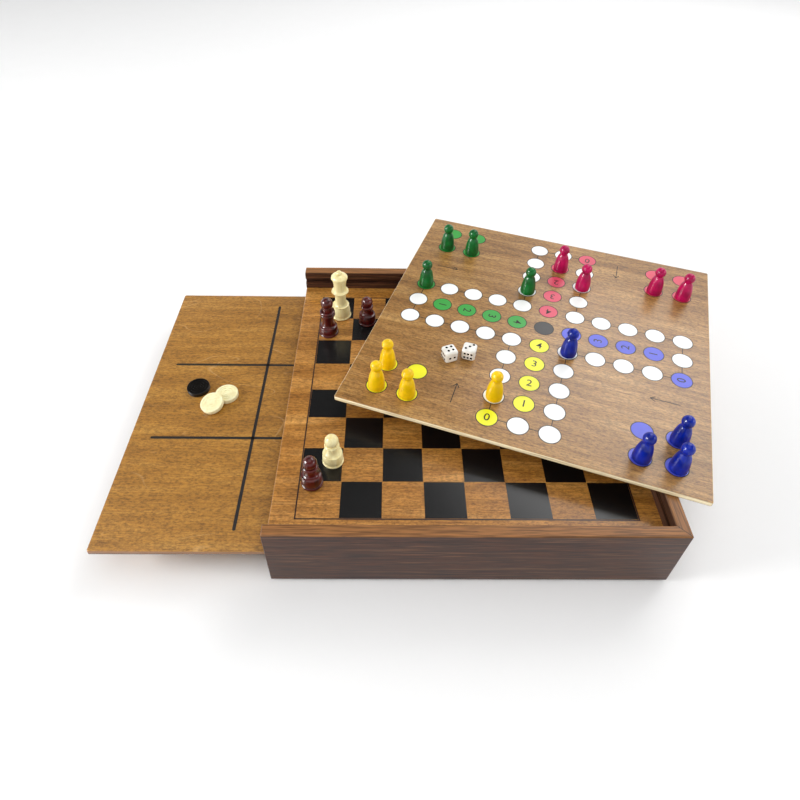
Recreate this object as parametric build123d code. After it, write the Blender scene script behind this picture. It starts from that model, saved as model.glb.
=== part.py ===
"""Games compendium box: a wooden case whose walls are grooved for three sliding game boards.

X runs along the front wall and the boards slide out towards -X. Y runs from front to rear and Z is up.
The origin is the centre of the case's underside. All sizes are in millimetres.
"""
import os
from math import asin, cos, degrees, sin, sqrt

from build123d import *

# Boards: two plywood boards of one size and the ludo board, which is also the sliding lid
square_size = 26.0            # one chess square
squares_per_side = 8
board_margin = 16.0           # plain border round the chess squares
board_thickness = 3.5
board_edge_radius = 0.8
board_corner_radius = 1.5
lid_side_play = 1.5           # the lid is narrower than the other boards by this much on each side
lid_overhang = 2.0            # and this much longer, to draw it out by

# Case walls
wall_thickness = 7.7
groove_grip = 2.5             # how far a board's edge reaches into its groove
groove_side_gap = 0.4
groove_gap_below = 0.15
groove_gap_above = 0.25
bottom_thickness = 3.0
storage_clearance = 2.6       # above the widest piece stored under the boards
headroom_clearance = 0.35     # above the draughts that lie between the two lower boards
lid_web = 6.0                 # from the chess board's top to the lid groove
lip_height = 6.75             # wall above the lid groove
end_radius = 1.2              # vertical corners and wall ends
top_edge_radius = 1.0
bottom_edge_radius = 3.0
bottom_flat = 0.8             # least flat left beside the rounded bottom edge
rabbet_depth = 2.5            # step in the walls for the bottom panel and the left wall's ends
panel_gap = 0.1

# Dividers in the storage space
divider_thickness = 3.0
divider_housing = 1.5         # depth of the slots that hold the dividers' ends
divider_gap = 0.4             # under the lowest board
front_channel_width = 76.0    # compartments along the front wall
draughts_bay_length = 112.0   # left compartment of that channel
chess_bay_length = 113.75     # left compartment behind it

# How the boards lie at rest
slide_out = 107.2             # how far the noughts and crosses board stands out of the case
ludo_inset = (56.0, 78.9)     # from the case's right and rear faces to the middle of the loose lid's circles
ludo_turn = -19.6             # degrees, as it lies on the right and rear walls

# Noughts and crosses grid, milled into its board
grid_margin = 14.0
grid_line_width = 2.2
grid_line_depth = 0.4

# Ludo layout
circles_off_middle = 1.2      # from the lid's middle to the middle of its circles
arm_offset = 20.7             # from the middle to the outer columns of an arm
arm_end_margin = 19.5         # from the last circle of an arm to the edge of a board of the common size
arm_steps = 5                 # circles from the middle to the end of an arm
home_inset = 32.3             # from the same edges to the middle of a home of four circles
home_pitch = 22.0

# Ludo pawns, with shoulder as (radius, height)
pawn_stand_off = 1.2          # how far they stand in front of the middles of their circles
pawn_foot_radius = 5.0
pawn_base_radius = 5.8
pawn_base_height = 2.2
pawn_belly_radius = 5.55
pawn_belly_height = 7.5
pawn_shoulder = (4.0, 14.2)
pawn_neck_radius = 2.8
pawn_head_radius = 4.15
pawn_height = 24.0

# Dice
die_size = 10.0
die_edge_radius = 1.7
pip_radius = 0.95
pip_depth = 0.4
pip_pitch = 2.6

# Draughts
draught_radius = 8.25
draught_thickness = 3.4
draught_edge_radius = 0.5
draught_ring_radii = (2.2, 4.2, 6.2)
draught_ring_width = 0.8
draught_ring_depth = 0.35
rim_overlap = 3.1             # how far the leaning draught lies over its neighbour
lean_gap = 0.08

# Chess men: a foot ring and a drum with a ledge, a waist, a collar and a head, as (radius, height)
foot_ring_height = 1.8
foot_ring_step = 0.7          # from the foot ring in to the drum
drum_swell = 0.35
ledge_bead = 0.9              # bead round the drum's upper edge
collar_thickness = 2.2
king_base_radius = 8.0
king_ledge = (6.7, 12.5)
king_waist = (4.3, 20.0)
king_collar = (6.8, 27.0)
king_neck = (4.7, 31.0)
king_crown = (6.2, 40.0)
king_cross_height = 6.5
king_cross_width = 5.4
king_cross_thickness = 1.8
king_height = 50.0
queen_base_radius = 8.0
queen_ledge = (6.7, 12.0)
queen_waist = (4.3, 19.0)
queen_collar = (6.8, 25.5)
queen_neck = (4.8, 30.0)
queen_crown = (6.4, 38.0)
queen_ball_radius = 2.5
queen_height = 45.0
bishop_base_radius = 7.7
bishop_ledge = (6.8, 8.0)
bishop_waist = (4.9, 18.3)
bishop_collar_radius = 5.9
bishop_neck_radius = 3.9
bishop_head_radius = 4.7
bishop_height = 34.5
knight_base_radius = 7.4
knight_ledge = (6.6, 8.5)
knight_shoulder = (4.6, 11.5)
knight_head_thickness = 6.0
knight_height = 32.0
rook_base_radius = 7.4
rook_ledge = (6.5, 9.0)
rook_waist = (4.3, 16.0)
rook_tower = (5.5, 20.5)
rook_well_radius = 3.4
rook_well_depth = 3.6
rook_height = 28.0
battlement_gap = 2.0
chess_pawn_base_radius = 7.0
chess_pawn_ledge = (6.4, 9.2)
chess_pawn_neck_radius = 3.1
chess_pawn_collar_radius = 4.9
chess_pawn_head_radius = 4.5
chess_pawn_height = 25.3

# Stored pieces
stored_gap = 0.1              # round loose pieces in the storage space
row_gap = 1.4                 # between rows of men and between stacks of draughts
draughts_per_stack = 4

# Worked out from the sizes above
board_size = squares_per_side * square_size + 2 * board_margin
groove_depth = groove_grip + groove_side_gap
groove_height = groove_gap_below + board_thickness + groove_gap_above
inner_depth = board_size - 2 * groove_grip
case_depth = inner_depth + 2 * wall_thickness
case_length = board_size - groove_grip + wall_thickness
left_end = -case_length / 2
left_inner = left_end + wall_thickness
right_inner = case_length / 2 - wall_thickness
front_inner = -inner_depth / 2
rear_inner = inner_depth / 2
board_centre_x = left_end + board_size / 2
divider_y = front_inner + front_channel_width

lean_reach = 2 * draught_radius - rim_overlap
lean_angle = asin(draught_thickness / lean_reach)
lean_height = 2 * draught_radius * sin(lean_angle) + draught_thickness * cos(lean_angle) + lean_gap

storage_height = 2 * max(king_base_radius, queen_base_radius) + storage_clearance
lower_board_z = bottom_thickness + storage_height
lower_top = lower_board_z + board_thickness
chess_board_z = lower_top + lean_height + headroom_clearance
chess_top = chess_board_z + board_thickness
lid_z = chess_top + lid_web
groove_floors = [z - groove_gap_below for z in (lower_board_z, chess_board_z, lid_z)]
case_height = groove_floors[-1] + groove_height + lip_height
left_wall_height = groove_floors[0]
divider_top = lower_board_z - divider_gap

lid_length = board_size + lid_overhang
lid_width = board_size - 2 * lid_side_play
ludo_centre = (case_length / 2 - ludo_inset[0], case_depth / 2 - ludo_inset[1])
ludo_top = case_height + board_thickness
circle_pitch = (board_size / 2 - arm_end_margin - arm_offset) / (arm_steps - 1)
home_offset = board_size / 2 - home_inset

LOW = (Align.MIN, Align.MIN, Align.MIN)
STANDING = (Align.CENTER, Align.CENTER, Align.MIN)
LOW_FLAT = (Align.MIN, Align.MIN)


# Case
def case_form():
    """The case's whole block, with its vertical corners and the left end's edges rounded."""
    plan = extrude(RectangleRounded(case_length, case_depth, end_radius), case_height)
    side = Pos(left_end, 0) * Rectangle(case_length, case_height, align=LOW_FLAT)
    left_corners = side.vertices().group_by(Axis.X)[0]
    side = fillet(left_corners, end_radius)
    return plan & extrude(Plane.XZ * side, case_depth / 2, both=True)


def grooved_section():
    """Section of a high wall: x runs from its outer face inwards and y is up."""
    section = Rectangle(wall_thickness, case_height, align=LOW_FLAT)
    bottom_round = min(bottom_edge_radius, wall_thickness - rabbet_depth - bottom_flat)
    outer_bottom = section.vertices().group_by(Axis.X)[0].sort_by(Axis.Y)[0]
    section = fillet(outer_bottom, bottom_round)
    outer_top = section.vertices().group_by(Axis.X)[0].sort_by(Axis.Y)[-1]
    section = fillet(outer_top, top_edge_radius)
    inner_top = section.vertices().group_by(Axis.X)[-1].sort_by(Axis.Y)[-1]
    section = fillet(inner_top, top_edge_radius)
    rabbet = Rectangle(rabbet_depth, bottom_thickness, align=LOW_FLAT)
    section -= Pos(wall_thickness - rabbet_depth, 0) * rabbet
    groove = Rectangle(groove_depth, groove_height, align=LOW_FLAT)
    for floor in groove_floors:
        section -= Pos(wall_thickness - groove_depth, floor) * groove
    return section


def mitred(wall, corner_y, side):
    """Cuts a wall at 45 degrees through a right-hand corner, keeping its left (-1) or right (1) side."""
    along_y = side if corner_y < 0 else -side
    face = Plane(origin=(case_length / 2, corner_y, 0), x_dir=(0, 0, 1), z_dir=(side, along_y, 0))
    return split(wall, bisect_by=face, keep=Keep.TOP)


def long_wall():
    """The front wall before its divider slot: mitred right end, rabbeted left end."""
    plane = Plane(origin=(left_end, -case_depth / 2, 0), x_dir=(0, 1, 0), z_dir=(1, 0, 0))
    wall = extrude(plane * grooved_section(), case_length)
    wall = mitred(wall & case_form(), -case_depth / 2, -1)
    step = Box(wall_thickness, rabbet_depth, left_wall_height, align=LOW)
    return wall - Pos(left_end, front_inner - rabbet_depth, 0) * step


def divider_space(x, y, length_x, length_y):
    """A block as high as the dividers: a divider itself, or the slot that holds its end."""
    height = divider_top - bottom_thickness
    return Pos(x, y, bottom_thickness) * Box(length_x, length_y, height, align=LOW)


def front_wall():
    slot_x = left_inner + draughts_bay_length
    slot = divider_space(slot_x, front_inner - divider_housing, divider_thickness, divider_housing)
    return long_wall() - slot


def rear_wall():
    slot_x = left_inner + chess_bay_length
    slot = divider_space(slot_x, rear_inner, divider_thickness, divider_housing)
    return mirror(long_wall(), about=Plane.XZ) - slot


def right_wall():
    """High wall with both ends mitred."""
    plane = Plane(origin=(case_length / 2, -case_depth / 2, 0), x_dir=(-1, 0, 0), z_dir=(0, 1, 0))
    wall = extrude(plane * grooved_section(), case_depth) & case_form()
    wall = mitred(wall, -case_depth / 2, 1)
    wall = mitred(wall, case_depth / 2, 1)
    return wall - divider_space(right_inner, divider_y, divider_housing, divider_thickness)


def left_wall():
    """Low wall that the two lower boards pass over; its ends sit in the long walls' rabbets."""
    section = Rectangle(wall_thickness, left_wall_height, align=LOW_FLAT)
    rabbet = Rectangle(rabbet_depth, bottom_thickness, align=LOW_FLAT)
    section -= Pos(wall_thickness - rabbet_depth, 0) * rabbet
    end_y = rear_inner + rabbet_depth
    plane = Plane(origin=(left_end, end_y, 0), x_dir=(1, 0, 0), z_dir=(0, -1, 0))
    wall = extrude(plane * section, 2 * end_y) & case_form()
    return wall - divider_space(left_inner - divider_housing, divider_y, divider_housing, divider_thickness)


def bottom_panel():
    """Plywood panel that lies in the walls' rabbets, flush with their undersides."""
    reach = 2 * (rabbet_depth - panel_gap)
    length = right_inner - left_inner + reach
    return Box(length, inner_depth + reach, bottom_thickness, align=STANDING)


# Dividers
def long_divider():
    """Runs from the left wall to the right wall, with slots for the two short dividers."""
    length = right_inner - left_inner + 2 * divider_housing
    body = divider_space(left_inner - divider_housing, divider_y, length, divider_thickness)
    depth = divider_housing / 2
    body -= divider_space(left_inner + draughts_bay_length, divider_y, divider_thickness, depth)
    behind = divider_y + divider_thickness - depth
    return body - divider_space(left_inner + chess_bay_length, behind, divider_thickness, depth)


def draughts_divider():
    """Short divider between the front wall and the long divider."""
    length = divider_housing + front_channel_width + divider_housing / 2
    return divider_space(
        left_inner + draughts_bay_length, front_inner - divider_housing, divider_thickness, length
    )


def chess_divider():
    """Short divider between the long divider and the rear wall."""
    start = divider_y + divider_thickness - divider_housing / 2
    length = rear_inner + divider_housing - start
    return divider_space(left_inner + chess_bay_length, start, divider_thickness, length)


# Boards
def board(length=board_size, width=board_size):
    """A board with eased edges, its underside at z = 0."""
    body = extrude(RectangleRounded(length, width, board_corner_radius), board_thickness)
    levels = body.faces().sort_by(Axis.Z)
    return fillet(levels[0].edges() + levels[-1].edges(), board_edge_radius)


def chess_board():
    return Pos(board_centre_x, 0, chess_board_z) * board()


def tic_tac_toe_board():
    """Board with four shallow milled lines that cross."""
    length = board_size - 2 * grid_margin
    line = extrude(SlotOverall(length, grid_line_width), grid_line_depth)
    line = Pos(0, 0, board_thickness - grid_line_depth) * line
    body = board()
    for offset in (-length / 6, length / 6):
        body -= Pos(0, offset, 0) * line
        body -= Pos(offset, 0, 0) * Rot(0, 0, 90) * line
    return Pos(board_centre_x - slide_out, 0, lower_board_z) * body


def on_ludo(place, turn=0.0):
    """The location on the ludo board's top at a place measured from the middle of its circles."""
    middle = Pos(ludo_centre[0], ludo_centre[1], ludo_top) * Rot(0, 0, ludo_turn)
    return middle * Pos(place[0], place[1], 0) * Rot(0, 0, turn)


def ludo_board():
    return on_ludo((-circles_off_middle, 0)) * Pos(0, 0, -board_thickness) * board(lid_length, lid_width)


def track(column, row):
    """The circle in this column and row of the cross, counted from the middle one."""
    def reach(steps):
        if steps == 0:
            return 0.0
        length = arm_offset + (abs(steps) - 1) * circle_pitch
        return length if steps > 0 else -length
    return reach(column), reach(row)


def home(side_x, side_y, corner_x, corner_y):
    """A circle of a corner home, from the home's side and the circle's side, each -1 or 1."""
    half = home_pitch / 2
    return side_x * home_offset + corner_x * half, side_y * home_offset + corner_y * half


# Turned pieces
class Outline:
    """Half of a turned piece's outline, drawn from the axis at its foot in (radius, height)."""

    def __init__(self):
        self.end = (0.0, 0.0)
        self.edges = []

    def line(self, radius, height):
        self.edges.append(Line(self.end, (radius, height)))
        self.end = (radius, height)
        return self

    def arc(self, middle, end):
        self.edges.append(ThreePointArc(self.end, middle, end))
        self.end = end
        return self

    def sweep(self, end, leaving, arriving):
        """A smooth curve that leaves and arrives in the given directions."""
        self.edges.append(Spline(self.end, end, tangents=(leaving, arriving)))
        self.end = end
        return self

    def head(self, radius, top):
        """A ball down to where the outline stands, which closes the piece at its top."""
        centre = top - radius
        return self.arc((radius, centre), (0.0, top))

    def turned(self):
        if self.end[0] > 0:
            self.line(0.0, self.end[1])
        self.line(0.0, 0.0)
        return revolve(Plane.XZ * make_face(self.edges), Axis.Z)


def ball_seat(radius, top, neck_radius):
    """The height at which a ball head meets a neck of this radius."""
    return top - radius - sqrt(radius**2 - neck_radius**2)


def ludo_pawn():
    """Ball head on a full-bellied body with round shoulders and a rounded foot."""
    neck_z = ball_seat(pawn_head_radius, pawn_height, pawn_neck_radius)
    shape = Outline().line(pawn_foot_radius, 0.0)
    foot_middle = (
        pawn_foot_radius + 0.75 * (pawn_base_radius - pawn_foot_radius),
        0.3 * pawn_base_height,
    )
    shape.arc(foot_middle, (pawn_base_radius, pawn_base_height))
    shape.arc((pawn_belly_radius, pawn_belly_height), pawn_shoulder)
    shape.sweep((pawn_neck_radius, neck_z), (-0.5, 1.0), (-0.1, 1.0))
    return shape.head(pawn_head_radius, pawn_height).turned()


def man_foot(radius, ledge, waist):
    """Foot ring, swelling drum with a beaded ledge, and the hollow rise from there to the waist."""
    ledge_radius, ledge_z = ledge
    ring_flat = radius - foot_ring_step
    shape = Outline().line(ring_flat, 0.0)
    shape.arc((radius, foot_ring_height / 2), (ring_flat, foot_ring_height))
    drum_top = ledge_z - ledge_bead
    drum_middle = ((ring_flat + ledge_radius) / 2 + drum_swell, (foot_ring_height + drum_top) / 2)
    shape.arc(drum_middle, (ledge_radius - ledge_bead / 2, drum_top))
    shape.arc((ledge_radius, ledge_z - ledge_bead / 2), (ledge_radius - ledge_bead / 2, ledge_z))
    return shape.sweep(waist, (-1.0, 0.3), (0.0, 1.0))


def add_collar(shape, radius, neck_radius):
    """A rounded collar above the waist, closing in to the neck."""
    start = shape.end[1]
    shape.arc((radius, start + collar_thickness / 2), (neck_radius, start + collar_thickness))
    return shape


def chess_pawn():
    """Ball head on a collar that sits right on the hollow rise."""
    neck_z = ball_seat(chess_pawn_head_radius, chess_pawn_height, chess_pawn_neck_radius)
    waist = (chess_pawn_neck_radius, neck_z - collar_thickness)
    shape = man_foot(chess_pawn_base_radius, chess_pawn_ledge, waist)
    add_collar(shape, chess_pawn_collar_radius, chess_pawn_neck_radius)
    return shape.head(chess_pawn_head_radius, chess_pawn_height).turned()


def bishop():
    """Ball head over two collars on a bell-shaped body."""
    shape = man_foot(bishop_base_radius, bishop_ledge, bishop_waist)
    add_collar(shape, bishop_collar_radius, bishop_waist[0])
    add_collar(shape, bishop_collar_radius, bishop_neck_radius)
    seat_radius = 0.7 * bishop_head_radius
    seat = (seat_radius, ball_seat(bishop_head_radius, bishop_height, seat_radius))
    shape.sweep(seat, (0.0, 1.0), (-0.4, 1.0))
    return shape.head(bishop_head_radius, bishop_height).turned()


def crowned(base_radius, ledge, waist, collar, neck, crown):
    """A king's or queen's outline: a skirt-shaped collar and a crown that flares up to its rim."""
    collar_radius, collar_z = collar
    rim_round = collar_thickness / 4
    shape = man_foot(base_radius, ledge, waist)
    shape.sweep((collar_radius - rim_round, collar_z - rim_round), (0.0, 1.0), (1.0, 0.4))
    shape.arc((collar_radius, collar_z), (collar_radius - rim_round, collar_z + rim_round))
    shape.sweep(neck, (-1.0, 0.5), (0.0, 1.0))
    return shape.sweep(crown, (0.0, 1.0), (0.5, 1.0))


def queen():
    """Flared crown closed by a broad dome with half a ball on it."""
    shape = crowned(queen_base_radius, queen_ledge, queen_waist, queen_collar, queen_neck, queen_crown)
    crown_radius, crown_z = queen_crown
    seat_radius = 0.98 * queen_ball_radius
    seat_z = ball_seat(queen_ball_radius, queen_height, seat_radius)
    shape.sweep((seat_radius, seat_z), (0.3, 1.0), (-1.0, 0.3))
    return shape.head(queen_ball_radius, queen_height).turned()


def king():
    """Flared crown closed by a low dome under a plain cross."""
    crown_top = king_height - king_cross_height
    shape = crowned(king_base_radius, king_ledge, king_waist, king_collar, king_neck, king_crown)
    shape.sweep((king_cross_thickness / 2, crown_top), (0.3, 1.0), (-1.0, 0.1))
    body = shape.turned()
    sunk = king_cross_thickness / 2
    stem = Box(king_cross_thickness, king_cross_thickness, king_cross_height + sunk, align=STANDING)
    arms = Box(king_cross_width, king_cross_thickness, king_cross_thickness)
    body += Pos(0, 0, crown_top - sunk) * stem
    return body + Pos(0, 0, crown_top + 0.6 * king_cross_height) * arms


def rook():
    """Round tower with four battlements."""
    tower_radius, tower_z = rook_tower
    well_floor = rook_height - rook_well_depth
    shape = man_foot(rook_base_radius, rook_ledge, rook_waist)
    shape.sweep((tower_radius, tower_z), (0.0, 1.0), (0.6, 1.0))
    shape.line(tower_radius, rook_height)
    shape.line(rook_well_radius, rook_height)
    shape.line(rook_well_radius, well_floor)
    notch = Pos(0, 0, well_floor) * Box(2 * rook_base_radius, battlement_gap, rook_height, align=STANDING)
    return shape.turned() - notch - Rot(0, 0, 90) * notch


def knight():
    """Turned foot under a horse's head cut from one board: mane, ear, face, muzzle and throat in turn."""
    shoulder_radius, shoulder_z = knight_shoulder
    foot = man_foot(knight_base_radius, knight_ledge, knight_shoulder).turned()
    neck = 0.9 * shoulder_radius

    def on_head(across, up):
        """A place on the head, in shares of the foot's radius and of the rise above the shoulder."""
        return across * knight_base_radius, shoulder_z + up * (knight_height - shoulder_z)

    poll = on_head(0.15, 0.93)
    ear = on_head(0.0, 1.0)
    brow = on_head(-0.2, 0.88)
    nose = on_head(-0.85, 0.55)
    chin = on_head(-0.75, 0.4)
    profile = Spline((neck, shoulder_z), on_head(0.72, 0.4), poll)
    profile += Polyline(poll, ear, brow)
    profile += Spline(brow, on_head(-0.45, 0.74), nose)
    profile += ThreePointArc(nose, on_head(-0.92, 0.46), chin)
    profile += Spline(chin, on_head(-0.25, 0.44), (-neck, shoulder_z))
    profile += Line((-neck, shoulder_z), (neck, shoulder_z))
    return foot + extrude(Plane.XZ * make_face(profile), knight_head_thickness / 2, both=True)


# Each man's maker, height and the radius on which its head end rests when it lies down
MEN = {
    "king": (king, king_height, king_crown[0]),
    "queen": (queen, queen_height, queen_crown[0]),
    "bishop": (bishop, bishop_height, bishop_head_radius),
    "knight": (knight, knight_height, knight_head_thickness / 2),
    "rook": (rook, rook_height, rook_tower[0]),
    "pawn": (chess_pawn, chess_pawn_height, chess_pawn_head_radius),
}


def draught():
    """Disc with turned rings on both faces."""
    body = Cylinder(draught_radius, draught_thickness, align=STANDING)
    body = fillet(body.edges().filter_by(GeomType.CIRCLE), draught_edge_radius)
    for radius in draught_ring_radii:
        ring = Circle(radius + draught_ring_width / 2) - Circle(radius - draught_ring_width / 2)
        ring = extrude(ring, draught_ring_depth)
        body -= ring
        body -= Pos(0, 0, draught_thickness - draught_ring_depth) * ring
    return body


# Dice
def pips(count):
    """Where the pips of one face lie from its middle."""
    p = pip_pitch
    odd = [(0, 0)] if count % 2 else []
    diagonal = [(-p, -p), (p, p)] if count > 1 else []
    other = [(-p, p), (p, -p)] if count > 3 else []
    middle = [(0, -p), (0, p)] if count == 6 else []
    return odd + diagonal + other + middle


def die(top, front, right):
    """Rounded cube with drilled pips; opposite faces add up to seven."""
    half = die_size / 2
    body = fillet(Box(die_size, die_size, die_size).edges(), die_edge_radius)
    sphere_radius = (pip_radius**2 + pip_depth**2) / (2 * pip_depth)
    drill = Pos(0, 0, half - pip_depth + sphere_radius) * Sphere(sphere_radius)
    faces = [
        (top, Rot(0, 0, 90)),
        (7 - top, Rot(180, 0, 0)),
        (front, Rot(90, 0, 0) * Rot(0, 0, 90)),
        (7 - front, Rot(-90, 0, 0)),
        (right, Rot(0, 90, 0)),
        (7 - right, Rot(0, -90, 0)),
    ]
    for count, turn in faces:
        for x, y in pips(count):
            body -= turn * Pos(x, y, 0) * drill
    return Pos(0, 0, half) * body


# Pieces in play
def on_chess(across, up):
    """The location on the chess board, counted in squares from its front left corner."""
    middle = squares_per_side / 2
    x = board_centre_x + (across - middle) * square_size
    return Pos(x, (up - middle) * square_size, chess_top)


def on_lower_board(x, y):
    return Pos(board_centre_x - slide_out + x, y, lower_top)


cream_draught_place = (-60.5, 3.5)
black_draught_place = (-82.7, 9.7)
lean_direction = 53.0         # degrees, from the leaning draught towards its neighbour


def leaning_draught():
    """Stands on its left rim with its right side up on the other cream draught."""
    low_edge = draught_radius + lean_reach * cos(lean_angle)
    turned_up = Rot(0, -degrees(lean_angle), 0) * Pos(draught_radius, 0, 0) * draught()
    place = on_lower_board(*cream_draught_place) * Rot(0, 0, lean_direction)
    return place * Pos(-low_edge, 0, lean_gap) * turned_up


def loose_pieces():
    """Every piece that stands on a board, by name."""
    pawn = ludo_pawn()
    places = {
        "yellow": [home(-1, -1, -1, -1), home(-1, -1, 1, -1), home(-1, -1, -1, 1), track(-1, -4)],
        "green": [home(-1, 1, -1, -1), home(-1, 1, 1, -1), track(-1, 2), track(-5, 1)],
        "pink": [home(1, 1, -1, -1), home(1, 1, 1, -1), track(1, 3), track(0, 4)],
        "blue": [home(1, -1, -1, -1), home(1, -1, 1, -1), home(1, -1, 1, 1), track(1, -1)],
    }
    pieces = {
        f"{colour}_pawn_{number}": Pos(0, -pawn_stand_off) * on_ludo(place) * pawn
        for colour, spots in places.items()
        for number, place in enumerate(spots, start=1)
    }
    pieces["left_die"] = on_ludo((-59.0, -56.5), 41.0) * die(top=4, front=2, right=1)
    pieces["right_die"] = on_ludo((-46.2, -49.5), 2.0) * die(top=3, front=6, right=5)
    pieces["cream_queen"] = on_chess(0.62, 7.17) * queen()
    pieces["brown_bishop"] = on_chess(0.29, 6.36) * bishop()
    pieces["rear_brown_chess_pawn"] = on_chess(1.45, 6.85) * chess_pawn()
    pieces["front_brown_chess_pawn"] = on_chess(0.30, 0.97) * chess_pawn()
    pieces["cream_chess_pawn"] = on_chess(0.76, 1.61) * chess_pawn()
    pieces["black_draught"] = on_lower_board(*black_draught_place) * draught()
    pieces["cream_draught"] = on_lower_board(*cream_draught_place) * draught()
    pieces["leaning_cream_draught"] = leaning_draught()
    return pieces


# Stored pieces
def laid_down(name):
    """A man on its side with its head towards +X, its foot's rim and its head both on the floor."""
    make, height, head_radius = MEN[name]
    man = make()
    lean = degrees(asin((man.bounding_box().max.Y - head_radius) / height))
    on_its_side = Rot(0, 90 + lean, 0) * Rot(0, 0, 90) * man
    box = on_its_side.bounding_box()
    return Pos(-box.min.X, 0, -box.min.Z) * on_its_side


def stored_men(bay_x, rows):
    """Rows of men lying in a compartment behind the long divider."""
    shapes = {name: laid_down(name) for row in rows for name in row}
    pitch = 2 * max(king_base_radius, queen_base_radius) + row_gap
    first_y = divider_y + divider_thickness + pitch / 2
    laid = []
    for number, row in enumerate(rows):
        x = bay_x + row_gap
        for name in row:
            laid.append(Pos(x, first_y + number * pitch, bottom_thickness + stored_gap) * shapes[name])
            x += shapes[name].bounding_box().max.X + row_gap
    return Compound(children=laid)


def stored_draughts(count, row):
    """Stacks of draughts in the compartment at the front left."""
    disc = draught()
    pitch = 2 * draught_radius + row_gap
    first_x = left_inner + pitch / 2
    y = front_inner + (row + 0.5) * pitch
    layer = draught_thickness + stored_gap / 2
    stack = []
    for index in range(count):
        column, level = divmod(index, draughts_per_stack)
        place = Pos(first_x + column * pitch, y, bottom_thickness + stored_gap + level * layer)
        stack.append(place * disc)
    return Compound(children=stack)


def stored_pieces():
    """The rest of the chess men and draughts, under the boards."""
    cream_rows = [
        ("king", "knight"),
        ("bishop", "bishop"),
        ("knight", "rook", "pawn"),
        ("rook", "pawn", "pawn"),
        ("pawn", "pawn", "pawn"),
        ("pawn",),
    ]
    brown_rows = [
        ("king", "knight"),
        ("queen", "bishop"),
        ("knight", "rook", "pawn"),
        ("rook", "pawn", "pawn"),
        ("pawn", "pawn", "pawn"),
    ]
    return {
        "stored_cream_men": stored_men(left_inner, cream_rows),
        "stored_brown_men": stored_men(left_inner + chess_bay_length + divider_thickness, brown_rows),
        "stored_black_draughts": stored_draughts(11, 0),
        "stored_cream_draughts": stored_draughts(10, 1),
    }


def case_pieces():
    makers = (
        front_wall,
        rear_wall,
        right_wall,
        left_wall,
        bottom_panel,
        long_divider,
        draughts_divider,
        chess_divider,
        chess_board,
        tic_tac_toe_board,
        ludo_board,
    )
    return {maker.__name__: maker() for maker in makers}


def main():
    os.makedirs("parts", exist_ok=True)
    pieces = case_pieces() | loose_pieces() | stored_pieces()
    for name, shape in pieces.items():
        export_step(shape, f"parts/{name}.step")


if __name__ == "__main__":
    main()
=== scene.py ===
from math import atan2, cos, hypot, pi, radians, sin

import bmesh
import bpy
from mathutils import Matrix, Vector


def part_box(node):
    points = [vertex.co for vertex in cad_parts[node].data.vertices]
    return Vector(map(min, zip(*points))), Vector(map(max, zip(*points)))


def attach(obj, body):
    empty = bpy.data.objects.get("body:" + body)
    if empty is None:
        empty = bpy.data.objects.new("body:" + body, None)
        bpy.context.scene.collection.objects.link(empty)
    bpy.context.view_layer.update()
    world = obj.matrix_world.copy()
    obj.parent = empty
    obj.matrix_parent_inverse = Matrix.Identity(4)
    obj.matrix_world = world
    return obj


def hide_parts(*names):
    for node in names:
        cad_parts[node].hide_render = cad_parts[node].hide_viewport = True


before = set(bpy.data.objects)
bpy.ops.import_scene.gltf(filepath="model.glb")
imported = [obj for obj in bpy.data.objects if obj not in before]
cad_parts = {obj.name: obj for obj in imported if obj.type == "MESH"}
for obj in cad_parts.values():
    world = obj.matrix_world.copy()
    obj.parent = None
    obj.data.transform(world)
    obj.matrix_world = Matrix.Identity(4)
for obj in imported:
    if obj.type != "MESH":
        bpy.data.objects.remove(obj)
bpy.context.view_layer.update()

# Lengths are in millimetres, the same as the CAD model's, up to the studio, which is in metres
MM = 0.001                    # one millimetre in metres

# Boards
SQUARE = 26.0                 # one chess square
SQUARES = 8                   # along each side of the chess board
BOARD = 240.0                 # side of the two boards that slide
BOARD_THICKNESS = 3.5
LID_LENGTH = 242.0            # the ludo board, which is also the lid
LID_WIDTH = 237.0
LUDO_TURN = -19.6             # degrees, as it lies on the walls
GRID_LENGTH = 212.0           # grooves for noughts and crosses
GRID_LINE = 2.2
GRID_DEPTH = 0.4

# Ludo circles
CIRCLES_OFF_MIDDLE = 1.2      # from the lid's middle to the middle one of its circles
CIRCLE_RADIUS = 6.95
CIRCLE_PITCH = 19.95          # from circle to circle along an arm
ARM_OFFSET = 20.7             # from the middle circle to the rows and columns beside it
ARM_STEPS = 5                 # circles from the middle one to the end of an arm
HOME_OFFSET = 87.7            # from the middle circle to the middle of a home, along and across
HOME_PITCH = 22.0             # from circle to circle in a home

# Print and paint
INK = 0.04                    # thickness of one coat of ink
SQUARE_GAP = 0.3              # bare wood between two black squares that meet at a corner
FRAME_LINE = 0.9              # line round the chess squares
OUTLINE = 0.6                 # line round each circle
LINE_WIDTH = 0.6              # lines from circle to circle, and arrows
BARB_LENGTH = 4.2             # the two strokes of an arrow's head
BARB_SPREAD = 32.0            # degrees from the arrow to each
NUMERAL_HEIGHT = 8.6
NUMERAL_SWELL = 0.05          # added all round a numeral's strokes
PAINT_SIDE_GAP = 0.02         # from the paint to each side of its groove
PAINT_SUNK = 0.05             # from the board's face down to the paint
PAINT_STEP = 0.01             # the lines' round ends lie this much lower, in a plane of their own
DISC_SIDES = 40
SMALL_DISC_SIDES = 24

# Start arrows, each from its tail to its head, from the middle circle
START_ARROWS = [
    ((-46.7, -96.4), (-47.0, -78.0)),
    ((-98.8, 48.6), (-81.4, 48.6)),
    ((46.2, 101.6), (46.2, 84.0)),
    ((100.0, -45.4), (80.1, -45.4)),
]

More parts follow.
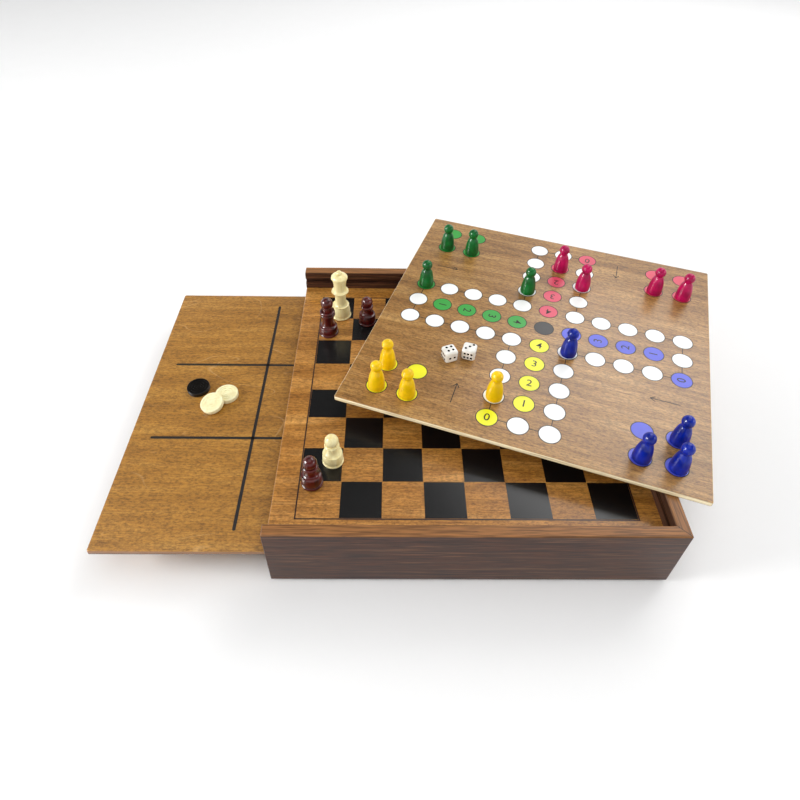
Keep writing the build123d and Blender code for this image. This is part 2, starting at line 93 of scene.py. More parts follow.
# Ludo pawns
PAWN_HEAD_RADIUS = 4.2
PAWN_HEAD_HEIGHT = 19.85      # up to the head's middle
PAWN_TOP = 24.02

# Dice
DIE = 10.0
DIE_EDGE = 2.2                # radius of its worn edges and corners
PIP_RADIUS = 0.9
PIP_REACH = 2.4               # from a face's middle to its outer pips, along and across
PIP_ROW_GAP = 3.5             # between the two rows of an even number
PIP_SINK = 0.3                # how far a pip's paint reaches into the die
DIE_EDGE_STEPS = 7            # flat strips round an edge
DIE_SIDE_MARGIN = 0.1         # narrow border that keeps the flat sides flat

# Meshes
SAME_PLACE = 0.001            # points this close in a new piece are one
CAD_SAME_PLACE = 0.002        # and in a CAD node
CREASE = 35.0                 # degrees; sharper edges stay sharp

# The case's upper right-hand rear corner, in metres
case_high = Vector((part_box("right_wall")[1][0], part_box("rear_wall")[1][1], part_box("right_wall")[1][2]))


# Colours and shader nodes
WHITE = (1, 1, 1)
BLACK = (0, 0, 0)


def colour(code):
    """sRGB hex to a linear colour."""
    parts = [int(code[i:i + 2], 16) / 255 for i in (1, 3, 5)]
    linear = [p / 12.92 if p <= 0.04045 else ((p + 0.055) / 1.055) ** 2.4 for p in parts]
    return (*linear, 1.0)


def node(tree, kind, inputs=None, stops=None, **settings):
    """Adds a shader node with its settings, its colour stops, and its values or links."""
    new = tree.nodes.new("ShaderNode" + kind)
    for name, value in settings.items():
        setattr(new, name, value)
    if stops:
        elements = new.color_ramp.elements
        elements.remove(elements[1])
        elements[0].position, elements[0].color = stops[0]
        for share, value in stops[1:]:
            elements.new(share).color = value
    for name, value in (inputs or {}).items():
        if isinstance(value, bpy.types.NodeSocket):
            tree.links.new(value, new.inputs[name])
        else:
            new.inputs[name].default_value = value
    return new


def surface(name, **sockets):
    """A new material with its shader's own sockets set: the material, its tree, shader and object place."""
    made = bpy.data.materials.new(name)
    made.use_nodes = True
    tree = made.node_tree
    shader = tree.nodes["Principled BSDF"]
    for socket, value in sockets.items():
        shader.inputs[socket.replace("_", " ")].default_value = value
    return made, tree, shader, node(tree, "TexCoord").outputs["Object"]


def paint(tree, shader, base):
    """Gives a shader its colour."""
    tree.links.new(base, shader.inputs["Base Color"])


def emboss(tree, shader, height, strength, depth):
    """Gives a shader a relief."""
    relief = node(tree, "Bump", {"Height": height, "Strength": strength, "Distance": depth * MM})
    tree.links.new(relief.outputs[0], shader.inputs["Normal"])


def ramp(tree, value, stops):
    """A value turned to colours by stops of (share, tone), a tone being sRGB hex or three linear numbers."""
    full = [(share, colour(tone) if isinstance(tone, str) else (*tone, 1.0)) for share, tone in stops]
    return node(tree, "ValToRGB", {"Fac": value}, stops=full).outputs[0]


def between(tree, value, low, high, to_low=0.0, to_high=1.0):
    """A value mapped from one stretch to another and kept inside it."""
    return node(tree, "MapRange", {
        "Value": value, "From Min": low, "From Max": high, "To Min": to_low, "To Max": to_high,
    }).outputs[0]


def reckoned(tree, operation, *values):
    """What an operation makes of one or two values."""
    return node(tree, "Math", dict(enumerate(values)), operation=operation).outputs[0]


def mixed(tree, factor, first, second, blend="MIX"):
    """Two colours mixed by a factor."""
    mix = node(tree, "Mix", {"Factor": factor}, data_type="RGBA", blend_type=blend)
    for index, value in ((6, first), (7, second)):
        if isinstance(value, bpy.types.NodeSocket):
            tree.links.new(value, mix.inputs[index])
        else:
            mix.inputs[index].default_value = value
    return mix.outputs[2]


def multiplied(tree, first, second):
    """One colour darkened or lightened by another."""
    return mixed(tree, 1.0, first, second, "MULTIPLY")


def noise(tree, place, scale, detail, **sockets):
    """Soft noise with about so many blots to a unit of its place, as a value near 0.5."""
    return node(tree, "TexNoise", {"Vector": place, "Scale": scale, "Detail": detail, **sockets}).outputs[0]


def stretched(tree, place, along, width, reach):
    """A place in which one unit is this wide, and reach times as long along one axis."""
    scale = [1 / (width * MM)] * 3
    scale["XYZ".index(along)] /= reach
    return node(tree, "Mapping", {"Vector": place, "Scale": scale}).outputs[0]


# Patterns in wood; reaches say how many times as long as wide they are
FIGURE_REACH = 9
STRAIGHT_FIGURE_REACH = 34
FIBRE_REACH = 28
PORE_REACH = 14


def grain(tree, place, along, figure_width, fibre_width, figure_reach=FIGURE_REACH):
    """Figure and fibres that run along one axis, as two values near 0.5."""
    figure = noise(tree, stretched(tree, place, along, figure_width, figure_reach), 1.0, 3.0,
                   Roughness=0.55, Distortion=0.8)
    fibres = noise(tree, stretched(tree, place, along, fibre_width, FIBRE_REACH), 1.0, 2.0, Roughness=0.6)
    return figure, fibres


def pores(tree, place, along, width):
    """Short dark open pores between the fibres, 1 in a pore."""
    specks = node(tree, "TexVoronoi", {
        "Vector": stretched(tree, place, along, width, PORE_REACH), "Scale": 0.5, "Randomness": 1.0,
    })
    return ramp(tree, specks.outputs["Distance"], [(0.0, WHITE), (0.16, BLACK)])


def mitre_glue(tree, apart):
    """The glue line where two walls meet at 45 degrees, close to 1 on it."""
    from_end = reckoned(tree, "SUBTRACT", case_high.x, apart.outputs["X"])
    off_middle = reckoned(tree, "ABSOLUTE", apart.outputs["Y"])
    from_side = reckoned(tree, "SUBTRACT", case_high.y, off_middle)
    off_mitre = reckoned(tree, "ABSOLUTE", reckoned(tree, "SUBTRACT", from_end, from_side))
    return between(tree, off_mitre, 0.15 * MM, 0.5 * MM, 0.85, 0.0)


def flecks(tree, place):
    """Short rays along the grain that take the stain unevenly."""
    along_grain = node(tree, "Mapping", {"Vector": place, "Scale": (1 / 2.4, 1.0, 1.0)}).outputs[0]
    rays = noise(tree, along_grain, 1 / (1.1 * MM), 3.0, Roughness=0.7)
    return ramp(tree, rays, [(0.36, (0.60, 0.57, 0.52)), (0.5, WHITE), (0.64, (1.30, 1.30, 1.26))])


def growth_lines(tree, place, strength):
    """Thin contours of a slow field, broken up by a second one: this strong on a line, 0 off it."""
    drawn_out = node(tree, "Mapping", {"Vector": place, "Scale": (1 / 0.10, 1 / 0.035, 1.0)}).outputs[0]
    slow = noise(tree, drawn_out, 1.0, 2.0, Roughness=0.45, Distortion=0.5)
    line = ramp(tree, slow, [(0.5065, BLACK), (0.5095, WHITE), (0.5125, BLACK)])
    kept = ramp(tree, noise(tree, place, 20.0, 1.0), [(0.44, BLACK), (0.56, WHITE)])
    return reckoned(tree, "MULTIPLY", reckoned(tree, "MULTIPLY", line, kept), strength)


def ply_rim(tree, place, size, plies):
    """Where a board's rim is, as 1, and the colours of the plies up through its thickness."""
    apart = node(tree, "SeparateXYZ", {"Vector": place})
    insets = []
    for axis, length in enumerate(size):
        off_middle = reckoned(tree, "ABSOLUTE", apart.outputs[axis])
        insets.append(reckoned(tree, "SUBTRACT", length / 2 * MM, off_middle))
    rim = between(tree, reckoned(tree, "MINIMUM", *insets), 0.2 * MM, 0.5 * MM, 1.0, 0.0)
    half = BOARD_THICKNESS / 2 * MM
    return rim, ramp(tree, between(tree, apart.outputs["Z"], -half, half), plies)


# Materials
def stained_walnut_wall(name, along):
    """Dark stained hardwood, satin varnished: straight grain, open pores, glued mitres; tops and top edges
    painted paler as painted light and highlight.
    """
    made, tree, shader, place = surface(name, Coat_Weight=0.08, Coat_Roughness=0.25, IOR=1.38)
    figure, fibres = grain(tree, place, along, 2.0, 0.9, STRAIGHT_FIGURE_REACH)
    tone = ramp(tree, figure, [(0.36, "#2C1107"), (0.46, "#4D2B18"), (0.54, "#381B0D"), (0.64, "#5C3B25")])
    streaks = ramp(tree, fibres, [
        (0.38, (0.55, 0.52, 0.50)), (0.5, (0.95, 0.95, 0.95)), (0.62, (1.34, 1.32, 1.28)),
    ])
    apart = node(tree, "SeparateXYZ", {"Vector": place})
    # painted light: the upper face and its rounded top edges are painted a paler tan, a painted sheen with a
    # painted highlight line on the edges
    painted_top_light = between(tree, apart.outputs["Z"], case_high.z - 0.9 * MM, case_high.z - 0.2 * MM)
    painted_top_light_wood = multiplied(tree, colour("#8A5C30"), streaks)
    wood = mixed(tree, painted_top_light, multiplied(tree, tone, streaks), painted_top_light_wood)
    wood = mixed(tree, pores(tree, place, along, 0.45), wood, colour("#24100A"))
    paint(tree, shader, mixed(tree, mitre_glue(tree, apart), wood, colour("#1C0C07")))
    emboss(tree, shader, fibres, 0.25, 0.12)
    tree.links.new(between(tree, fibres, 0.0, 1.0, 0.34, 0.5), shader.inputs["Roughness"])
    return made


def bare_poplar_ply(name, along):
    """Unfinished sanded plywood: pale, dry and finely fibred."""
    made, tree, shader, place = surface(name, Roughness=0.7, IOR=1.45)
    figure, fibres = grain(tree, place, along, 16.0, 0.8)
    tone = ramp(tree, figure, [(0.3, "#B98F5F"), (0.55, "#D0AC7C"), (0.75, "#C49E6C")])
    streaks = ramp(tree, fibres, [(0.3, (0.8, 0.78, 0.74)), (0.7, (1.08, 1.06, 1.04))])
    paint(tree, shader, multiplied(tree, tone, streaks))
    emboss(tree, shader, fibres, 0.2, 0.1)
    return made


def varnished_birch_ply(name, centre, turn, size, stain, streak, plies, roughness, growth=0.0):
    """Stained and varnished plywood board: fine fibres, flecks, growth lines, and plies at its edges."""
    made, tree, shader, around = surface(
        name, Roughness=roughness, Coat_Weight=0.3, Coat_Roughness=0.2, IOR=1.5
    )
    place = node(tree, "Mapping", {
        "Vector": around, "Location": centre, "Rotation": (0, 0, radians(turn)),
    }, vector_type="TEXTURE").outputs[0]
    figure, fibres = grain(tree, place, "X", 11.0, 0.9)
    tone = ramp(tree, figure, zip((0.3, 0.5, 0.7), stain))
    streaks = ramp(tree, fibres, [(0.28, streak), (0.52, WHITE), (0.75, (1.12, 1.12, 1.1))])
    wood = multiplied(tree, multiplied(tree, tone, streaks), flecks(tree, place))
    if growth:
        wood = mixed(tree, growth_lines(tree, place, growth), wood, colour("#E2B878"))
    rim, layers = ply_rim(tree, place, size, plies)
    paint(tree, shader, mixed(tree, rim, wood, multiplied(tree, layers, streaks)))
    emboss(tree, shader, fibres, 0.12, 0.06)
    return made


def lacquered_beech(name, base, roughness, deep=0.8):
    """Turned beech dipped in lacquer: glossy, with a faint orange-peel and deeper colour in patches."""
    made, tree, shader, place = surface(
        name, Roughness=roughness, Coat_Weight=0.5, Coat_Roughness=0.04, IOR=1.18
    )
    darker = [part * deep for part in colour(base)[:3]]
    paint(tree, shader, ramp(tree, noise(tree, place, 160.0, 2.0), [(0.35, darker), (0.65, base)]))
    emboss(tree, shader, noise(tree, place, 1 / (1.2 * MM), 1.0), 0.08, 0.05)
    return made


def turned_boxwood(name, light, dark, roughness, gloss):
    """Turned close-grained wood under lacquer: grain up the piece and fine tool rings round it."""
    made, tree, shader, place = surface(
        name, Roughness=roughness, Coat_Weight=gloss, Coat_Roughness=0.05, IOR=1.25
    )
    figure, fibres = grain(tree, place, "Z", 4.0, 0.5)
    tone = ramp(tree, figure, [(0.32, dark), (0.62, light)])
    streaks = ramp(tree, fibres, [(0.3, (0.93, 0.92, 0.9)), (0.6, WHITE)])
    paint(tree, shader, multiplied(tree, tone, streaks))
    rings = node(tree, "TexWave", {"Vector": place, "Scale": 500.0, "Distortion": 0.2}, bands_direction="Z")
    emboss(tree, shader, rings.outputs[0], 0.06, 0.04)
    return made


def printing_ink(name, base, roughness, wear=0.06):
    """Screen-printed ink on varnished wood: an even film that lets a little of the grain through."""
    made, tree, shader, place = surface(
        name, Roughness=roughness, Coat_Weight=0.2, Coat_Roughness=0.2, IOR=1.48
    )
    fibres = grain(tree, place, "X", 12.0, 0.5)[1]
    wood_tone = 0.12
    thin = [part * (1 - wear) + wood_tone * wear for part in colour(base)[:3]]
    paint(tree, shader, ramp(tree, fibres, [(0.3, thin), (0.6, base)]))
    emboss(tree, shader, fibres, 0.1, 0.05)
    return made


def polished_acrylic(name, base, cloud):
    """Moulded and tumbled acrylic: white, glossy and slightly cloudy below the surface."""
    made, tree, shader, place = surface(name, Roughness=0.12, Coat_Weight=0.5, Coat_Roughness=0.05, IOR=1.49)
    paint(tree, shader, ramp(tree, noise(tree, place, 300.0, 1.0), [(0.3, cloud), (0.7, base)]))
    return made


def matt_paper_sweep(name):
    """Smooth white paper under the box, with the slightest mottle."""
    made, tree, shader, place = surface(name, Roughness=0.85, IOR=1.4)
    paint(tree, shader, ramp(tree, noise(tree, place, 40.0, 3.0), [(0.3, "#FCFCFC"), (0.7, "#FDFDFD")]))
    return made


# Putting pieces in the scene
def keep(form, name, body, finish, subdivide=0, smooth=True):
    """Turns a bmesh into a piece that rides on a body."""
    bmesh.ops.remove_doubles(form, verts=form.verts, dist=SAME_PLACE * MM)
    bmesh.ops.recalc_face_normals(form, faces=form.faces)
    mesh = bpy.data.meshes.new(name)
    form.to_mesh(mesh)
    form.free()
    mesh.materials.append(finish)
    for face in mesh.polygons:
        face.use_smooth = smooth
    made = bpy.data.objects.new(name, mesh)
    bpy.context.scene.collection.objects.link(made)
    if subdivide:
        finer = made.modifiers.new("finer", "SUBSURF")
        finer.levels = finer.render_levels = subdivide
    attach(made, body)
    return made


def dress(finish, *names):
    """Gives CAD nodes their finish, and smooth shading over their rounded edges."""
    for name in names:
        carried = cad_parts[name]
        carried.data.materials.clear()
        carried.data.materials.append(finish)
        for face in carried.data.polygons:
            face.use_smooth = True
        weld = carried.modifiers.new("weld", "WELD")
        weld.merge_threshold = CAD_SAME_PLACE * MM
        crease = carried.modifiers.new("crease", "EDGE_SPLIT")
        crease.split_angle = radians(CREASE)


def middle_of(name):
    """The middle of a CAD node's box, in metres."""
    low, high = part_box(name)
    return Vector([(a + b) / 2 for a, b in zip(low, high)])


def on_top(name, turn=0.0, off_middle=0.0):
    """Takes millimetres on a board's upper face, from its middle, to their place in the scene."""
    middle = middle_of(name)
    return (
        Matrix.Translation((middle.x, middle.y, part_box(name)[1][2]))
        @ Matrix.Rotation(radians(turn), 4, "Z")
        @ Matrix.Translation((off_middle * MM, 0, 0))
        @ Matrix.Scale(MM, 4)
    )


def add_plate(form, width, depth, place, turn=0.0, bottom=0.0, thickness=INK):
    """A thin rectangular film of ink."""
    made = bmesh.ops.create_cube(form, size=1.0)
    matrix = (
        Matrix.Translation((place[0], place[1], bottom + thickness / 2))
        @ Matrix.Rotation(turn, 4, "Z")
        @ Matrix.Diagonal((width, depth, thickness, 1))
    )
    bmesh.ops.transform(form, matrix=matrix, verts=made["verts"])


def add_disc(form, radius, place, bottom=0.0, thickness=INK, sides=DISC_SIDES):
    """A thin round film of ink."""
    made = bmesh.ops.create_cone(
        form, cap_ends=True, segments=sides, radius1=radius, radius2=radius, depth=thickness
    )
    matrix = Matrix.Translation((place[0], place[1], bottom + thickness / 2))
    bmesh.ops.transform(form, matrix=matrix, verts=made["verts"])


def print_on(carrier, form, name, finish):
    """Puts a printed film on what carries it, given as (matrix, body, slot); the slot is not used."""
    matrix, body, slot = carrier
    bmesh.ops.transform(form, matrix=matrix, verts=form.verts)
    keep(form, name, body, finish, smooth=False)


# Case
dress(stained_walnut_wall("stained_walnut_long_walls", "X"), "front_wall", "rear_wall")
dress(stained_walnut_wall("stained_walnut_end_walls", "Y"), "right_wall", "left_wall")
dress(bare_poplar_ply("bare_ply_along_x", "X"), "bottom_panel", "long_divider")
dress(bare_poplar_ply("bare_ply_along_y", "Y"), "draughts_divider", "chess_divider")

# Boards
dress(varnished_birch_ply(
    "varnished_chess_ply", middle_of("chess_board"), 0.0, (BOARD, BOARD),
    stain=("#946020", "#B27A34", "#C9934C"), streak=(0.62, 0.53, 0.42),
    plies=[(0.0, "#6A4322"), (0.3, "#8A5A30"), (0.4, "#B98A55"), (1.0, "#A97A45")], roughness=0.32,
), "chess_board")
dress(varnished_birch_ply(
    "varnished_golden_ply", middle_of("tic_tac_toe_board"), 0.0, (BOARD, BOARD),
    stain=("#8E601A", "#A47226", "#B28134"), streak=(0.80, 0.73, 0.62),
    plies=[(0.0, "#2E1A10"), (0.3, "#3A2216"), (0.4, "#8E6440"), (1.0, "#9A6E46")], roughness=0.42,
    growth=0.75,
), "tic_tac_toe_board")
dress(varnished_birch_ply(
    "varnished_ludo_ply", middle_of("ludo_board"), LUDO_TURN, (LID_LENGTH, LID_WIDTH),
    stain=("#835A24", "#9E7339", "#B48B50"), streak=(0.70, 0.60, 0.50),
    plies=[(0.0, "#5A3D22"), (0.16, "#6A4A2A"), (0.24, "#F8E8BC"), (1.0, "#FFF2CE")], roughness=0.36,
), "ludo_board")
chess_face = (on_top("chess_board"), "chess_board_body", "stained_chess_plywood")
lower_face = (on_top("tic_tac_toe_board"), "tic_tac_toe_board_body", "golden_plywood")
ludo_face = (
    on_top("ludo_board", LUDO_TURN, CIRCLES_OFF_MIDDLE), "ludo_board_body", "stained_ludo_plywood"
)

# Chess board print
half_field = SQUARES * SQUARE / 2
printed = SQUARE - SQUARE_GAP
form = bmesh.new()
for column in range(SQUARES):
    for row in range(SQUARES):
        if (column + row) % 2:
            place = ((column + 0.5) * SQUARE - half_field, (row + 0.5) * SQUARE - half_field)
            add_plate(form, printed, printed, place)
print_on(chess_face, form, "chess_squares_print", printing_ink("black_printing_ink", "#080707", 0.26, 0.02))
form = bmesh.new()
for side in (-1, 1):
    offset = side * (half_field + FRAME_LINE / 2)
    add_plate(form, 2 * (half_field + FRAME_LINE), FRAME_LINE, (0, offset))
    add_plate(form, FRAME_LINE, 2 * half_field, (offset, 0))
print_on(chess_face, form, "chess_frame_print", printing_ink("dark_brown_frame_ink", "#2B120B", 0.35))

# Noughts and crosses lines: black paint in the milled grooves
form = bmesh.new()
painted_width = GRID_LINE - 2 * PAINT_SIDE_GAP
straight = GRID_LENGTH - GRID_LINE
for turn in (0.0, pi / 2):
    for side in (-1, 1):
        line = Matrix.Rotation(turn, 4, "Z") @ Matrix.Translation((0, side * GRID_LENGTH / 6, 0))
        add_plate(form, straight, painted_width, line.translation, turn, -GRID_DEPTH, GRID_DEPTH - PAINT_SUNK)
        for end in (-1, 1):
            add_disc(form, painted_width / 2, line @ Vector((end * straight / 2, 0, 0)), -GRID_DEPTH,
                     GRID_DEPTH - PAINT_SUNK - PAINT_STEP, SMALL_DISC_SIDES)
print_on(lower_face, form, "grid_lines_paint", printing_ink("black_groove_paint", "#0D0908", 0.4))


# Ludo board print
def track(column, row):
    """The circle in this column and row of the cross, counted from the middle one."""
    def reach(steps):
        length = ARM_OFFSET + (abs(steps) - 1) * CIRCLE_PITCH if steps else 0.0
        return length if steps > 0 else -length
    return reach(column), reach(row)


def circle_inks():
    """Which circles of the cross there are, and the ink of each."""
    far = ARM_STEPS
    found = {(0, 0): "grey"}
    for step in range(1, far + 1):
        for side in (-1, 1):
            for middle in (-1, 0, 1):
                found[(side * step, middle)] = "white"
                found[(middle, side * step)] = "white"
    for step in range(1, far):
        found[(-step, 0)] = "green"
        found[(step, 0)] = "blue"
        found[(0, -step)] = "yellow"
        found[(0, step)] = "pink"
    found[(-1, -far)] = "yellow"
    found[(far, -1)] = "blue"
    found[(1, far)] = "pink"
    found[(-far, 1)] = "green"
    return found


def home_circles(side_x, side_y):
    """The four circles of the home in one corner of the board."""
    half = HOME_PITCH / 2
    middle_x, middle_y = side_x * HOME_OFFSET, side_y * HOME_OFFSET
    return [(middle_x + x, middle_y + y) for x in (-half, half) for y in (-half, half)]


def track_loop():
    """The circles of the running track, in order round the board."""
    arm = [(-1, -step) for step in range(ARM_STEPS, 0, -1)]
    quarter = arm + [(-step, -1) for step in range(2, ARM_STEPS + 1)] + [(-ARM_STEPS, 0)]
    loop = []
    for _ in range(4):
        loop += quarter
        quarter = [(row, -column) for column, row in quarter]
    return loop


def add_stroke(form, start, end, thickness=INK):
    """A thin straight line of ink between two points."""
    (x0, y0), (x1, y1) = start, end
    add_plate(form, hypot(x1 - x0, y1 - y0), LINE_WIDTH, ((x0 + x1) / 2, (y0 + y1) / 2),
              atan2(y1 - y0, x1 - x0), 0.0, thickness)


def add_arrow(form, tail, head):
    """A thin arrow with an open head."""
    add_stroke(form, tail, head)
    back = atan2(tail[1] - head[1], tail[0] - head[0])
    for side in (-1, 1):
        barb = back + side * radians(BARB_SPREAD)
        add_stroke(form, head, (head[0] + BARB_LENGTH * cos(barb), head[1] + BARB_LENGTH * sin(barb)))


def add_numeral(form, digit, place, turn):
    """A printed numeral, made a mesh before it is placed."""
    text = bpy.data.curves.new("numeral", "FONT")
    text.body = digit
    text.size = NUMERAL_HEIGHT
    text.align_x = "CENTER"
    text.align_y = "CENTER"
    text.extrude = INK / 2
    text.offset = NUMERAL_SWELL
    text.resolution_u = 4
    holder = bpy.data.objects.new("numeral", text)
    bpy.context.scene.collection.objects.link(holder)
    bpy.context.view_layer.update()
    mesh = bpy.data.meshes.new_from_object(holder.evaluated_get(bpy.context.evaluated_depsgraph_get()))
    bpy.data.objects.remove(holder)
    before = len(form.verts)
    form.from_mesh(mesh)
    form.verts.ensure_lookup_table()
    matrix = Matrix.Translation((place[0], place[1], 1.5 * INK)) @ Matrix.Rotation(turn, 4, "Z")
    bmesh.ops.transform(form, matrix=matrix, verts=form.verts[before:])
    bpy.data.meshes.remove(mesh)


ink_codes = {
    "white": "#F7F8F6", "yellow": "#F2F00E", "green": "#2C9E36",
    "pink": "#D8405C", "blue": "#5058D6", "grey": "#221D1C",
}
spots = {ink: [] for ink in ink_codes}
for place, ink in circle_inks().items():
    spots[ink].append(track(*place))
for ink, sides in {"yellow": (-1, -1), "green": (-1, 1), "pink": (1, 1), "blue": (1, -1)}.items():
    spots[ink] += home_circles(*sides)
line_ink = printing_ink("brown_line_ink", "#160C08", 0.6, 0.03)

# lines between the circles are half a coat thick, so that the outlines lie over them
form = bmesh.new()
loop = track_loop()
for start, end in zip(loop, loop[1:] + loop[:1]):
    add_stroke(form, track(*start), track(*end), INK / 2)
for places in spots.values():
    for place in places:
        add_disc(form, CIRCLE_RADIUS + OUTLINE, place)
print_on(ludo_face, form, "ludo_outlines_print", line_ink)
for ink, places in spots.items():
    form = bmesh.new()
    for place in places:
        add_disc(form, CIRCLE_RADIUS, place, INK / 2)
    print_on(ludo_face, form, f"ludo_{ink}_circles_print",
             printing_ink(f"{ink}_printing_ink", ink_codes[ink], 0.4, 0.02))

form = bmesh.new()
for tail, head in START_ARROWS:
    add_arrow(form, tail, head)
print_on(ludo_face, form, "start_arrows_print", line_ink)

# numerals: each arm's home row counts from its end, and each start circle has a nought
form = bmesh.new()
arms = [((0, -1), (-1, -ARM_STEPS), 0.0), ((-1, 0), (-ARM_STEPS, 1), -pi / 2),
        ((0, 1), (1, ARM_STEPS), pi), ((1, 0), (ARM_STEPS, -1), pi / 2)]
for (step_x, step_y), start, turn in arms:
    for number in range(1, ARM_STEPS):
        steps = ARM_STEPS - number
        add_numeral(form, str(number), track(step_x * steps, step_y * steps), turn)
    add_numeral(form, "0", track(*start), turn)
print_on(ludo_face, form, "home_row_numerals_print", line_ink)


# Ludo pawns
def ludo_pawn_outline():
    """Half of a ludo pawn from the middle of its foot to its top, as (radius, height)."""
    skirt = [
        (0.0, 0.0), (3.0, 0.0), (5.0, 0.0), (5.3, 0.1), (5.72, 0.8), (5.86, 2.0), (5.83, 4.2), (5.62, 7.0),
        (5.2, 10.0), (4.6, 12.6), (4.1, 14.1), (3.5, 15.2), (3.05, 15.9), (2.85, 16.5),
    ]
    angles = [radians(-46 + 17 * step) for step in range(8)]
    head = [(PAWN_HEAD_RADIUS * cos(a), PAWN_HEAD_HEIGHT + PAWN_HEAD_RADIUS * sin(a)) for a in angles]
    return skirt + head + [(0.0, PAWN_TOP)]


def spun(outline, steps):
    """Spins an outline of (radius, height) about Z."""
    form = bmesh.new()
    points = [form.verts.new((radius, 0, height)) for radius, height in outline]
    edges = [form.edges.new(pair) for pair in zip(points, points[1:])]
    bmesh.ops.spin(
        form, geom=points + edges, axis=(0, 0, 1), cent=(0, 0, 0), steps=steps, angle=2 * pi, use_merge=True
    )
    return form


def ludo_pawn(node_name, finish):
    """A turned pawn that stands where its CAD node stands and is shown instead."""
    middle = middle_of(node_name)
    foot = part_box(node_name)[0][2]
    form = spun(ludo_pawn_outline(), 28)
    matrix = Matrix.Translation((middle.x, middle.y, foot)) @ Matrix.Scale(MM, 4)
    bmesh.ops.transform(form, matrix=matrix, verts=form.verts)
    made = keep(form, f"{node_name}_turned", f"{node_name}_body", finish, subdivide=1)
    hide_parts(node_name)


pawn_lacquers = {"yellow": ("#FFD000", 0.8), "green": ("#006C2A", 0.5),
                 "pink": ("#C40058", 0.6), "blue": ("#0024A2", 0.5)}
for name, (code, deep) in pawn_lacquers.items():
    lacquer = lacquered_beech(f"{name}_lacquered_beech", code, 0.4, deep)
    for number in range(1, 5):
        ludo_pawn(f"{name}_pawn_{number}", lacquer)

# Chess men and draughts keep their CAD forms
dress(turned_boxwood("cream_turned_boxwood", "#FBF0BA", "#ECDA98", 0.32, 0.3),
      "cream_queen", "cream_chess_pawn", "stored_cream_men")
dress(turned_boxwood("brown_stained_boxwood", "#5A120E", "#2C0706", 0.3, 0.7),
      "brown_bishop", "rear_brown_chess_pawn", "front_brown_chess_pawn", "stored_brown_men")
dress(lacquered_beech("black_lacquered_draught_wood", "#14110F", 0.3),
      "black_draught", "stored_black_draughts")
dress(turned_boxwood("cream_draught_wood", "#FFFAD0", "#F6ECBA", 0.36, 0.3),
      "cream_draught", "leaning_cream_draught", "stored_cream_draughts")


# Dice
def pip_places(count):
    """Where the pips of one face lie from its middle: odd ones on the diagonals, even ones in rows."""
    row = PIP_ROW_GAP / 2
    corners = [(x, y) for x in (-PIP_REACH, PIP_REACH) for y in (-PIP_REACH, PIP_REACH)]
    return {
        1: [(0, 0)],
        2: [(-row, 0), (row, 0)],
        3: [corners[0], (0, 0), corners[3]],
        4: [(x, y) for x in (-row, row) for y in (-row, row)],
        5: [(0, 0)] + corners,
        6: [(x, y) for x in (-PIP_REACH, 0, PIP_REACH) for y in (-row, row)],
    }[count]


def rounded_cube():
    """A tumbled cube: its edges and corners are worn to one radius, and its flat sides get a margin."""
    form = bmesh.new()
    bmesh.ops.create_cube(form, size=DIE)
    bmesh.ops.bevel(form, geom=form.edges[:], offset=DIE_EDGE, segments=DIE_EDGE_STEPS, profile=0.5,
                   affect="EDGES")
    flat = (DIE - 2 * DIE_EDGE) ** 2
    sides = [face for face in form.faces if face.calc_area() > 0.9 * flat]
    bmesh.ops.inset_individual(form, faces=sides, thickness=DIE_SIDE_MARGIN)
    return form


def pip_paint(top, front, right):
    """The black paint in a die's pips; opposite faces add up to seven."""
    upright = Matrix.Rotation(pi / 2, 4, "Z")
    faces = [
        (top, Matrix.Identity(4)),
        (7 - top, Matrix.Rotation(pi, 4, "X")),
        (front, Matrix.Rotation(pi / 2, 4, "X")),
        (7 - front, Matrix.Rotation(-pi / 2, 4, "X")),
        (right, Matrix.Rotation(pi / 2, 4, "Y") @ upright),
        (7 - right, Matrix.Rotation(-pi / 2, 4, "Y") @ upright),
    ]
    form = bmesh.new()
    for count, face in faces:
        before = len(form.verts)
        for place in pip_places(count):
            add_disc(form, PIP_RADIUS, place, DIE / 2 - PIP_SINK, PIP_SINK + INK / 2, SMALL_DISC_SIDES)
        form.verts.ensure_lookup_table()
        bmesh.ops.transform(form, matrix=face, verts=form.verts[before:])
    return form


dice_white = polished_acrylic("white_acrylic", "#F8F7F2", "#E8E6DF")
pip_black = lacquered_beech("black_pip_paint", "#0B0A0A", 0.25)


def die(node_name, turn, top, front, right):
    """A rounded die where its CAD node stands, shown instead of it."""
    stand = Matrix.Translation(middle_of(node_name))
    matrix = stand @ Matrix.Rotation(radians(turn), 4, "Z") @ Matrix.Scale(MM, 4)
    body, slot = f"{node_name}_body", "white_dice_plastic"
    cube = rounded_cube()
    bmesh.ops.transform(cube, matrix=matrix, verts=cube.verts)
    made = keep(cube, f"{node_name}_moulding", body, dice_white)
    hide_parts(node_name)
    print_on((matrix, body, slot), pip_paint(top, front, right), f"{node_name}_pips", pip_black)


die("left_die", LUDO_TURN + 41.0, top=4, front=2, right=1)
die("right_die", LUDO_TURN + 2.0, top=3, front=6, right=5)

# Studio, in metres: a floor, softboxes that face the box, and pale walls
LIT_POINT = Vector((0.0, 0.0, 0.04))
FLOOR_REACH = 2.4             # from the box to the floor's edges
LEFT = (-1.3, -0.27, 0.6)
RIGHT = (1.3, -0.27, 0.6)
form = bmesh.new()
bmesh.ops.create_grid(form, x_segments=1, y_segments=1, size=FLOOR_REACH)
floor_mesh = bpy.data.meshes.new("paper_floor")
form.to_mesh(floor_mesh)
form.free()
floor_mesh.materials.append(matt_paper_sweep("white_paper_floor"))
floor = bpy.data.objects.new("paper_floor", floor_mesh)
bpy.context.scene.collection.objects.link(floor)


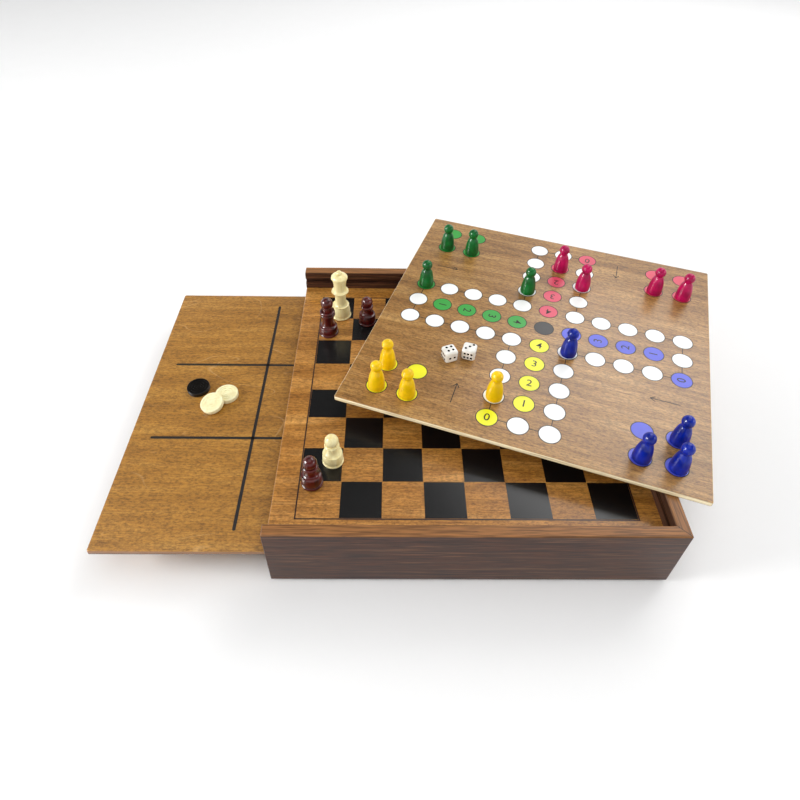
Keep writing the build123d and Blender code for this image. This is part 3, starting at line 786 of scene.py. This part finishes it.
def softbox(name, place, size, power, glint=False):
    """A rectangular area light; a glint only shows where something glossy mirrors it."""
    light = bpy.data.lights.new(name, "AREA")
    light.shape = "RECTANGLE"
    light.size, light.size_y = size
    light.energy = power
    lamp = bpy.data.objects.new(name, light)
    lamp.location = place
    lamp.visible_diffuse = not glint
    lamp.rotation_euler = (LIT_POINT - Vector(place)).to_track_quat("-Z", "Y").to_euler()
    bpy.context.scene.collection.objects.link(lamp)


softbox("key_softbox", (0.68, 0.80, 1.115), (0.95, 0.7), 9.5)
softbox("ceiling_softbox", (0.0, -0.3, 3.5), (3.5, 3.5), 44.0)
softbox("left_softbox", LEFT, (0.4, 0.4), 10.0)
softbox("left_glint", LEFT, (0.5, 0.5), 50.0, glint=True)
softbox("right_softbox", RIGHT, (0.4, 0.4), 3.0)

# walls: pale low down, dark above, so that varnish mirrors little but the lights
world = bpy.data.worlds.new("studio")
bpy.context.scene.world = world
world.use_nodes = True
walls = world.node_tree
towards = node(walls, "TexCoord").outputs["Generated"]
height = node(walls, "SeparateXYZ", {"Vector": towards}).outputs["Z"]
glow = ramp(walls, height, [(0.46, WHITE), (0.60, (0.1, 0.1, 0.1))])
walls.links.new(glow, walls.nodes["Background"].inputs["Color"])

# Camera: its place in metres, where its frame's right side and middle point, and its lens
CAMERA_PLACE = Vector((-0.0511, -0.3047, 0.3740))
CAMERA_RIGHT = Vector((0.9998, -0.0060, 0.0181))
CAMERA_AHEAD = Vector((0.0167, 0.7344, -0.6785))
FRAME_WIDTH = 36.0            # of the sensor, in millimetres
FOCAL_SHARE = 0.78            # focal length as a share of that width
SHIFT = (0.0004, -0.0832)     # of the frame, as shares of that width

camera_data = bpy.data.cameras.new("studio_camera")
camera_data.sensor_width = FRAME_WIDTH
camera_data.lens = FOCAL_SHARE * FRAME_WIDTH
camera_data.shift_x, camera_data.shift_y = SHIFT
camera = bpy.data.objects.new("studio_camera", camera_data)
ahead = CAMERA_AHEAD.normalized()
up = CAMERA_RIGHT.cross(ahead).normalized()
right = ahead.cross(up).normalized()
turned = Matrix((right, up, -ahead)).transposed()
camera.matrix_world = Matrix.Translation(CAMERA_PLACE) @ turned.to_4x4()
bpy.context.scene.collection.objects.link(camera)
bpy.context.scene.camera = camera
bpy.context.scene.view_settings.view_transform = "Standard"
